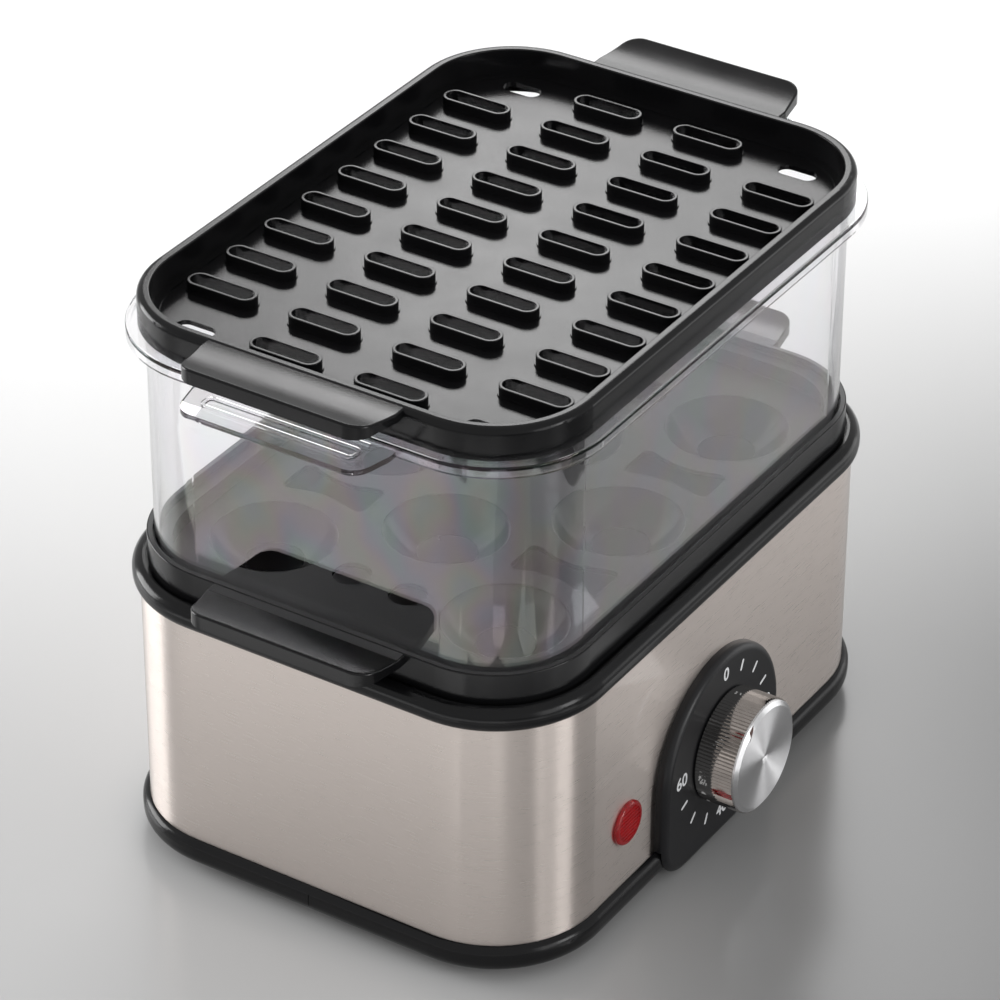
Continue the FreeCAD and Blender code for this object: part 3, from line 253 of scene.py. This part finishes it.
def brushed_steel():
    """Steel brushed round its walls, so that its reflections spread up and down."""
    material, tree, shader = new_material("brushed_steel")
    streaks = noise(tree, streak_cells, detail=3)
    feed(tree, shader, {
        "Base Color": blend_colours(tree, streaks, *steel_tones),
        "Metallic": 1.0,
        "Roughness": spread(tree, streaks, 0.27, 0.31),
        "Anisotropic": 1.0,
        "Anisotropic Rotation": 0.25,
        "Tangent": round_tangent(tree, "Z"),
        "Coat Weight": 0.7,
        "Coat Roughness": 0.04,
        "Normal": bump(tree, streaks, 0.01, streak_height),
    })
    return material


def satin_plastic(name, tones, rough, grain=0.08, gloss=0.5):
    """Moulded plastic with a cloudy tone and a fine grain."""
    material, tree, shader = new_material(name)
    cloud = noise(tree, cloud_cells)
    feed(tree, shader, {
        "Base Color": blend_colours(tree, cloud, *tones),
        "Roughness": spread(tree, cloud, *rough),
        "Specular IOR Level": gloss,
        "Normal": bump(tree, noise(tree, grain_cells, detail=1), grain, grain_height),
    })
    return material


def matt_and_painted_sheen_share(tree):
    """One on the egg tray's flat floor, which is rougher and painted lighter as sheen, and zero in its
    wells, on its rim and on its handles.
    """
    normal = add(tree, "ShaderNodeTexCoord").outputs["Normal"]
    up = add(tree, "ShaderNodeSeparateXYZ", {"Vector": normal}).outputs["Z"]
    place = add(tree, "ShaderNodeSeparateXYZ", {"Vector": object_place(tree)}).outputs
    from_middle = calculate(tree, "ABSOLUTE", place["X"], 0.0)
    lowest = tier_foot - floor_mask_depth
    flat = spread(tree, up, 0.0, 1.0, *floor_mask_facing)
    inside = spread(tree, from_middle, 1.0, 0.0, floor_mask_half_length, floor_mask_half_length + mask_blend)
    above_wells = spread(tree, place["Z"], 0.0, 1.0, lowest, lowest + mask_blend)
    return calculate(tree, "MULTIPLY", calculate(tree, "MULTIPLY", flat, inside), above_wells)


def egg_tray_plastic():
    """The tray's black plastic, with a rougher floor between its polished wells, painted a lighter black
    as a stand-in for sheen.
    """
    material, tree, shader = new_material("egg_tray_plastic")
    cloud = noise(tree, cloud_cells)
    matt_and_sheen = matt_and_painted_sheen_share(tree)
    polished = blend_colours(tree, cloud, *black_tones)
    painted_sheen_black = blend_colours(tree, cloud, *painted_sheen_black_tones)
    feed(tree, shader, {
        # The floor's lighter black is painted sheen; its higher roughness is real
        "Base Color": blend_colours(tree, matt_and_sheen, polished, painted_sheen_black),
        "Roughness": spread(tree, matt_and_sheen, 0.17, 0.42, start=0.0, end=1.0),
        "Specular IOR Level": 0.3,
        "Normal": bump(tree, noise(tree, grain_cells, detail=1), 0.35, grain_height),
    })
    return material


def clear_plastic():
    """Clear moulded plastic, a little wavy, with a film that tints its reflections faintly."""
    material, tree, shader = new_material("clear_plastic")
    feed(tree, shader, {
        "Base Color": (*clear_tone, 1.0),
        "Roughness": spread(tree, noise(tree, stress_cells, detail=3), 0.0, 0.03),
        "Transmission Weight": 1.0,
        "IOR": 1.57,
        "Thin Film IOR": 1.54,
        "Thin Film Thickness": spread(tree, noise(tree, film_cells), *film_thickness),
        "Normal": bump(tree, noise(tree, wave_cells), 0.05, wave_height),
    })
    return material


def metal(name, tones, rough, cells=metal_cells):
    """Plain metal with a grain in its tone and its roughness."""
    material, tree, shader = new_material(name)
    grain = noise(tree, cells, detail=3)
    feed(tree, shader, {
        "Base Color": blend_colours(tree, grain, *tones),
        "Metallic": 1.0,
        "Roughness": spread(tree, grain, *rough),
    })
    return material


def spun_aluminium():
    """Aluminium turned on a lathe, with rings round the knob's axis."""
    material, tree, shader = new_material("spun_aluminium")
    offset = calculate_vector(tree, "SUBTRACT", object_place(tree), (dial.x, 0, dial.z))
    flat = calculate_vector(tree, "MULTIPLY", offset.outputs[0], (1, 0, 1))
    distance = add(tree, "ShaderNodeVectorMath", {0: flat.outputs[0]}, operation="LENGTH").outputs["Value"]
    scaled = calculate(tree, "MULTIPLY", distance, ring_cells)
    rings = add(tree, "ShaderNodeTexNoise", {"W": scaled, "Scale": 1.0, "Detail": 2.0},
                noise_dimensions="1D").outputs["Fac"]
    feed(tree, shader, {
        "Base Color": blend_colours(tree, rings, *spun_tones),
        "Metallic": 1.0,
        "Roughness": spread(tree, rings, 0.30, 0.40),
        "Anisotropic": 0.95,
        "Anisotropic Rotation": 0.25,
        "Tangent": round_tangent(tree, "Y"),
        "Normal": bump(tree, rings, 0.06, ring_height),
    })
    return material


def red_plastic():
    """The lamp's lens: red plastic that lets part of the light through."""
    material, tree, shader = new_material("red_lens")
    cloud = noise(tree, lens_cells)
    feed(tree, shader, {
        "Base Color": blend_colours(tree, cloud, *lens_tones),
        "Roughness": spread(tree, cloud, 0.03, 0.07),
        "Transmission Weight": 0.7,
        "IOR": 1.5,
    })
    return material


def print_ink():
    """The pale ink of the dial's marks."""
    material, tree, shader = new_material("dial_print")
    cloud = noise(tree, ink_cells)
    feed(tree, shader, {
        "Base Color": blend_colours(tree, cloud, *ink_tones),
        "Roughness": spread(tree, cloud, 0.45, 0.6),
    })
    return material


def dress(names, material):
    """Gives the named nodes one material."""
    for name in names:
        piece = nodes[name]
        piece.data.materials.clear()
        piece.data.materials.append(material)


dress(["outer_shell"], brushed_steel())
dress(["egg_tray"], egg_tray_plastic())
dress(["clear_tier"], clear_plastic())
dress(["knob_face"], spun_aluminium())
dress(["indicator_lens"], red_plastic())
dress(["top_bezel", "base_housing", "bottom_cover", "steam_tray", "cord_gland", "gland_nut"],
      satin_plastic("black_plastic", black_tones, rough=(0.15, 0.20), grain=0.35, gloss=0.25))
dress(["control_panel"], satin_plastic("panel_plastic", panel_tones, rough=(0.30, 0.38), gloss=0.35))
dress(["knob_skirt"], metal("chrome", chrome_tones, rough=(0.04, 0.08)))

# Other plastics: name, tones, roughness, pieces
plastics = (
    ("pointer_inlay", ((0.055, 0.018, 0.010), (0.075, 0.026, 0.014)), (0.3, 0.4), ["knob_pointer"]),
    ("rubber", ((0.018, 0.018, 0.018), (0.03, 0.03, 0.03)), (0.7, 0.85), ["rubber_feet"]),
    ("silicone", ((0.6, 0.57, 0.54), (0.7, 0.67, 0.64)), (0.5, 0.6), ["basin_gasket"]),
    ("ceramic", ((0.66, 0.65, 0.60), (0.78, 0.77, 0.73)), (0.5, 0.7), ["thermostat", "thermal_fuse"]),
    ("grey_plastic", ((0.26, 0.26, 0.27), (0.34, 0.34, 0.35)), (0.4, 0.5),
     ["lamp_holder", "timer_case", "terminal_block", "switch_cam"]),
    ("lamp_glass", ((0.7, 0.3, 0.12), (0.85, 0.42, 0.2)), (0.05, 0.1), ["neon_lamp"]),
    ("brown_lead", ((0.11, 0.045, 0.02), (0.15, 0.065, 0.03)), (0.4, 0.5),
     ["live_lead", "switched_lead", "element_lead"]),
    ("blue_lead", ((0.02, 0.08, 0.3), (0.03, 0.11, 0.38)), (0.4, 0.5), ["neutral_lead", "lamp_lead"]),
    ("green_lead", ((0.10, 0.30, 0.03), (0.15, 0.38, 0.05)), (0.4, 0.5), ["earth_lead"]),
)
for name, tones, rough, pieces in plastics:
    dress(pieces, satin_plastic(name, tones, rough))

# Other metals: name, tones, roughness, noise cells, pieces
metals = (
    # The basin's steel is painted dark, standing in for the deep shade it sits in under the trays
    ("shade_darkened_basin", ((0.13, 0.13, 0.135), (0.19, 0.19, 0.195)), (0.35, 0.5), metal_cells,
     ["water_basin"]),
    ("drawn_aluminium", ((0.42, 0.42, 0.43), (0.58, 0.58, 0.59)), (0.32, 0.45), drawn_cells,
     ["heat_spreader"]),
    ("element_steel", ((0.16, 0.14, 0.12), (0.30, 0.28, 0.25)), (0.35, 0.5), metal_cells,
     ["heating_element"]),
    ("zinc_plate", ((0.45, 0.45, 0.46), (0.62, 0.62, 0.60)), (0.25, 0.4), metal_cells,
     ["element_clamps", "clamp_rivets", "thermostat_screws", "timer_plate", "timer_screws", "tie_screws",
      "cover_screws", "timer_shaft", "bell_post", "timer_bell"]),
    ("brass", ((0.55, 0.38, 0.14), (0.72, 0.52, 0.22)), (0.22, 0.36), metal_cells,
     ["earth_tab", "timer_contacts", "terminal_screws", "drive_wheel", "escape_pinion"]),
)
for name, tones, rough, cells, pieces in metals:
    dress(pieces, metal(name, tones, rough, cells))


# Dial marks

def mesh_object(name, build):
    """An object whose mesh is made by a function."""
    mesh = bpy.data.meshes.new(name)
    made = bmesh.new()
    build(made)
    bmesh.ops.recalc_face_normals(made, faces=made.faces)
    made.to_mesh(mesh)
    made.free()
    piece = bpy.data.objects.new(name, mesh)
    scene.collection.objects.link(piece)
    return piece


def dial_direction(turn):
    """The direction on the dial at an angle from the top, clockwise as seen from the front."""
    angle = math.radians(turn)
    return Vector((math.sin(angle), 0, math.cos(angle)))


def tick_outline(turn):
    """The outline of a bar along a radius of the dial, with rounded ends."""
    along = dial_direction(turn)
    across = Vector((along.z, 0, -along.x))
    centre = Vector((dial.x, 0, dial.z)) + along * tick_radius
    radius = tick_width / 2
    straight = tick_length / 2 - radius
    ring = []
    for end in (1, -1):
        for step in range(tick_end_steps + 1):
            angle = math.pi * step / tick_end_steps
            outward = end * (straight + radius * math.sin(angle))
            ring.append(centre + along * outward + across * end * radius * math.cos(angle))
    return ring


def build_tick(made, turn):
    """A printed bar: its outline, carried from just in front of the panel to just inside it."""
    ring = tick_outline(turn)
    front = [made.verts.new((point.x, panel_face - print_proud, point.z)) for point in ring]
    back = [made.verts.new((point.x, panel_face + print_depth, point.z)) for point in ring]
    made.faces.new(front)
    made.faces.new(list(reversed(back)))
    for number in range(len(ring)):
        follower = (number + 1) % len(ring)
        made.faces.new((front[number], back[number], back[follower], front[follower]))


def build_ticks(made):
    """A bar at each step of the dial that has no number."""
    for number in range(tick_count + 1):
        if number % ticks_per_number:
            build_tick(made, number * tick_step)


ink = print_ink()
ticks = mesh_object("dial_ticks", build_ticks)
ticks.data.materials.append(ink)
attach(ticks, "base")


def dial_number(text, turn):
    """A printed number on the dial, upright, with its middle at an angle from the top."""
    name = "dial_number_" + text
    curve = bpy.data.curves.new(name, "FONT")
    curve.body = text
    curve.size = digit_height
    curve.align_x = "CENTER"
    curve.align_y = "CENTER"
    curve.extrude = (print_depth + print_proud) / 2
    curve.offset = digit_weight
    lettering = bpy.data.objects.new(name, curve)
    place = Vector((dial.x, panel_face + (print_depth - print_proud) / 2, dial.z))
    lettering.location = place + dial_direction(turn) * tick_radius
    lettering.rotation_euler = (math.pi / 2, 0, 0)
    scene.collection.objects.link(lettering)
    bpy.context.view_layer.update()
    mesh = bpy.data.meshes.new_from_object(lettering)
    mesh.transform(lettering.matrix_world)
    bpy.data.objects.remove(lettering)
    piece = bpy.data.objects.new(name, mesh)
    scene.collection.objects.link(piece)
    mesh.materials.clear()
    mesh.materials.append(ink)
    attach(piece, "base")


for number in range(0, tick_count + 1, ticks_per_number):
    dial_number(str(number * minutes_per_tick), number * tick_step)


# Floor

def painted_floor_light(tree, depth, near_tone):
    """The floor's painted light: its tone, from the near edge of the picture to the white at the far one,
    stands in for the fall of the light.
    """
    share = spread(tree, depth, 0.0, 1.0, start=near_depth, end=far_depth)
    curve = calculate(tree, "POWER", share, depth_power)
    return spread(tree, curve, near_tone, 1.0, start=0.0, end=1.0)


def floor_material():
    """A pale floor with painted light and shade: white far away, grey near the camera, and greyer on its
    right side, where a painted shadow of the object falls.
    """
    material, tree, shader = new_material("studio_floor")
    away = Vector((*(camera_target - camera_place).xy, 0)).normalized()
    rightward = Vector((away.y, -away.x, 0))
    place = calculate_vector(tree, "SUBTRACT", object_place(tree), base).outputs[0]
    depth = calculate_vector(tree, "DOT_PRODUCT", place, away).outputs["Value"]
    side = calculate_vector(tree, "DOT_PRODUCT", place, rightward).outputs["Value"]
    left = painted_floor_light(tree, depth, left_near_lit_tone)
    # Painted shade: the right side is darker than the left, and darker further out
    right = painted_floor_light(tree, depth, spread(tree, side, *right_near_shade_tones, *right_shade_sides))
    across = add(tree, "ShaderNodeMapRange", {"Value": side, "From Min": lit_to_shade_sides[0],
                                              "From Max": lit_to_shade_sides[1]}, interpolation_type="SMOOTHSTEP")
    level = add(tree, "ShaderNodeMix", {0: across.outputs["Result"], 2: left, 3: right}, data_type="FLOAT")
    feed(tree, shader, {
        "Base Color": level.outputs[0],
        "Roughness": 0.22,
        "Specular IOR Level": 0.35,
    })
    return material


def build_floor(made):
    """One square face."""
    corners = ((-1, -1), (1, -1), (1, 1), (-1, 1))
    made.faces.new([made.verts.new((x * floor_half, y * floor_half, 0)) for x, y in corners])


floor = mesh_object("studio_floor", build_floor)
floor.data.materials.append(floor_material())


# Lights

def area_light(name, place, aim, size, power):
    """A card of light that shows in gloss, but not in the picture or through the clear tier."""
    lamp = bpy.data.lights.new(name, "AREA")
    lamp.shape = "RECTANGLE"
    lamp.size, lamp.size_y = size
    lamp.energy = power
    card = bpy.data.objects.new(name, lamp)
    card.location = base + Vector(place)
    card.rotation_euler = (Vector(aim) - Vector(place)).to_track_quat("-Z", "Y").to_euler()
    card.visible_camera = False
    card.visible_transmission = False
    scene.collection.objects.link(card)
    return card


def at_bearing(bearing, distance):
    """The point at a distance along a bearing in degrees from +X towards +Y."""
    angle = math.radians(bearing)
    return Vector((distance * math.cos(angle), distance * math.sin(angle)))


def upright_card(name, bearing, width, low, high, power):
    """An upright card that faces the object."""
    height = (low + high) / 2
    place = (*at_bearing(bearing, upright_distance), height)
    area_light(name, place, (0, 0, height), (width, high - low), power)


def floor_card(name, centre, size, radiance, turn=0):
    """A card lying face up on the floor, turned by an angle from +X; the clear tier shows it as haze."""
    power = radiance * math.pi * size[0] * size[1]
    place = Vector((*centre, floor_card_height))
    card = area_light(name, place, place + Vector((0, 0, 1)), size, power)
    card.rotation_euler = (math.pi, 0, math.radians(turn))
    card.visible_transmission = True


for box in soft_boxes:
    area_light(*box)
for card in upright_cards:
    upright_card(*card)
for card in floor_cards:
    floor_card(*card)
for bearing, radiance in corner_cards:
    floor_card("corner_floor_card_" + str(bearing), tier_corner + at_bearing(bearing, corner_card_radius),
               corner_card_size, radiance, bearing)


def studio_world():
    """White surroundings that the camera sees brighter than they light the object."""
    world = bpy.data.worlds.new("studio")
    world.use_nodes = True
    tree = world.node_tree
    tree.nodes.clear()
    rays = add(tree, "ShaderNodeLightPath").outputs
    plain = add(tree, "ShaderNodeBackground", {"Color": (1, 1, 1, 1), "Strength": world_light})
    shown = add(tree, "ShaderNodeBackground", {"Color": (1, 1, 1, 1), "Strength": world_shown})
    seen = calculate(tree, "MAXIMUM", rays["Is Camera Ray"], rays["Is Transmission Ray"])
    mixed = add(tree, "ShaderNodeMixShader", {0: seen, 1: plain.outputs[0], 2: shown.outputs[0]})
    add(tree, "ShaderNodeOutputWorld", {"Surface": mixed.outputs[0]})
    return world


scene.world = studio_world()


# Camera

def photo_camera():
    """The camera at the photograph's place."""
    camera = bpy.data.cameras.new("camera")
    camera.lens = camera_lens
    camera.sensor_width = sensor_width
    camera.clip_start = clip_near
    camera.clip_end = clip_far
    holder = bpy.data.objects.new("camera", camera)
    holder.location = base + camera_place
    aim = (camera_target - camera_place).to_track_quat("-Z", "Y")
    holder.rotation_euler = (aim @ Quaternion((0, 0, 1), math.radians(camera_roll))).to_euler()
    scene.collection.objects.link(holder)
    return holder


scene.camera = photo_camera()
scene.view_settings.view_transform = "Standard"
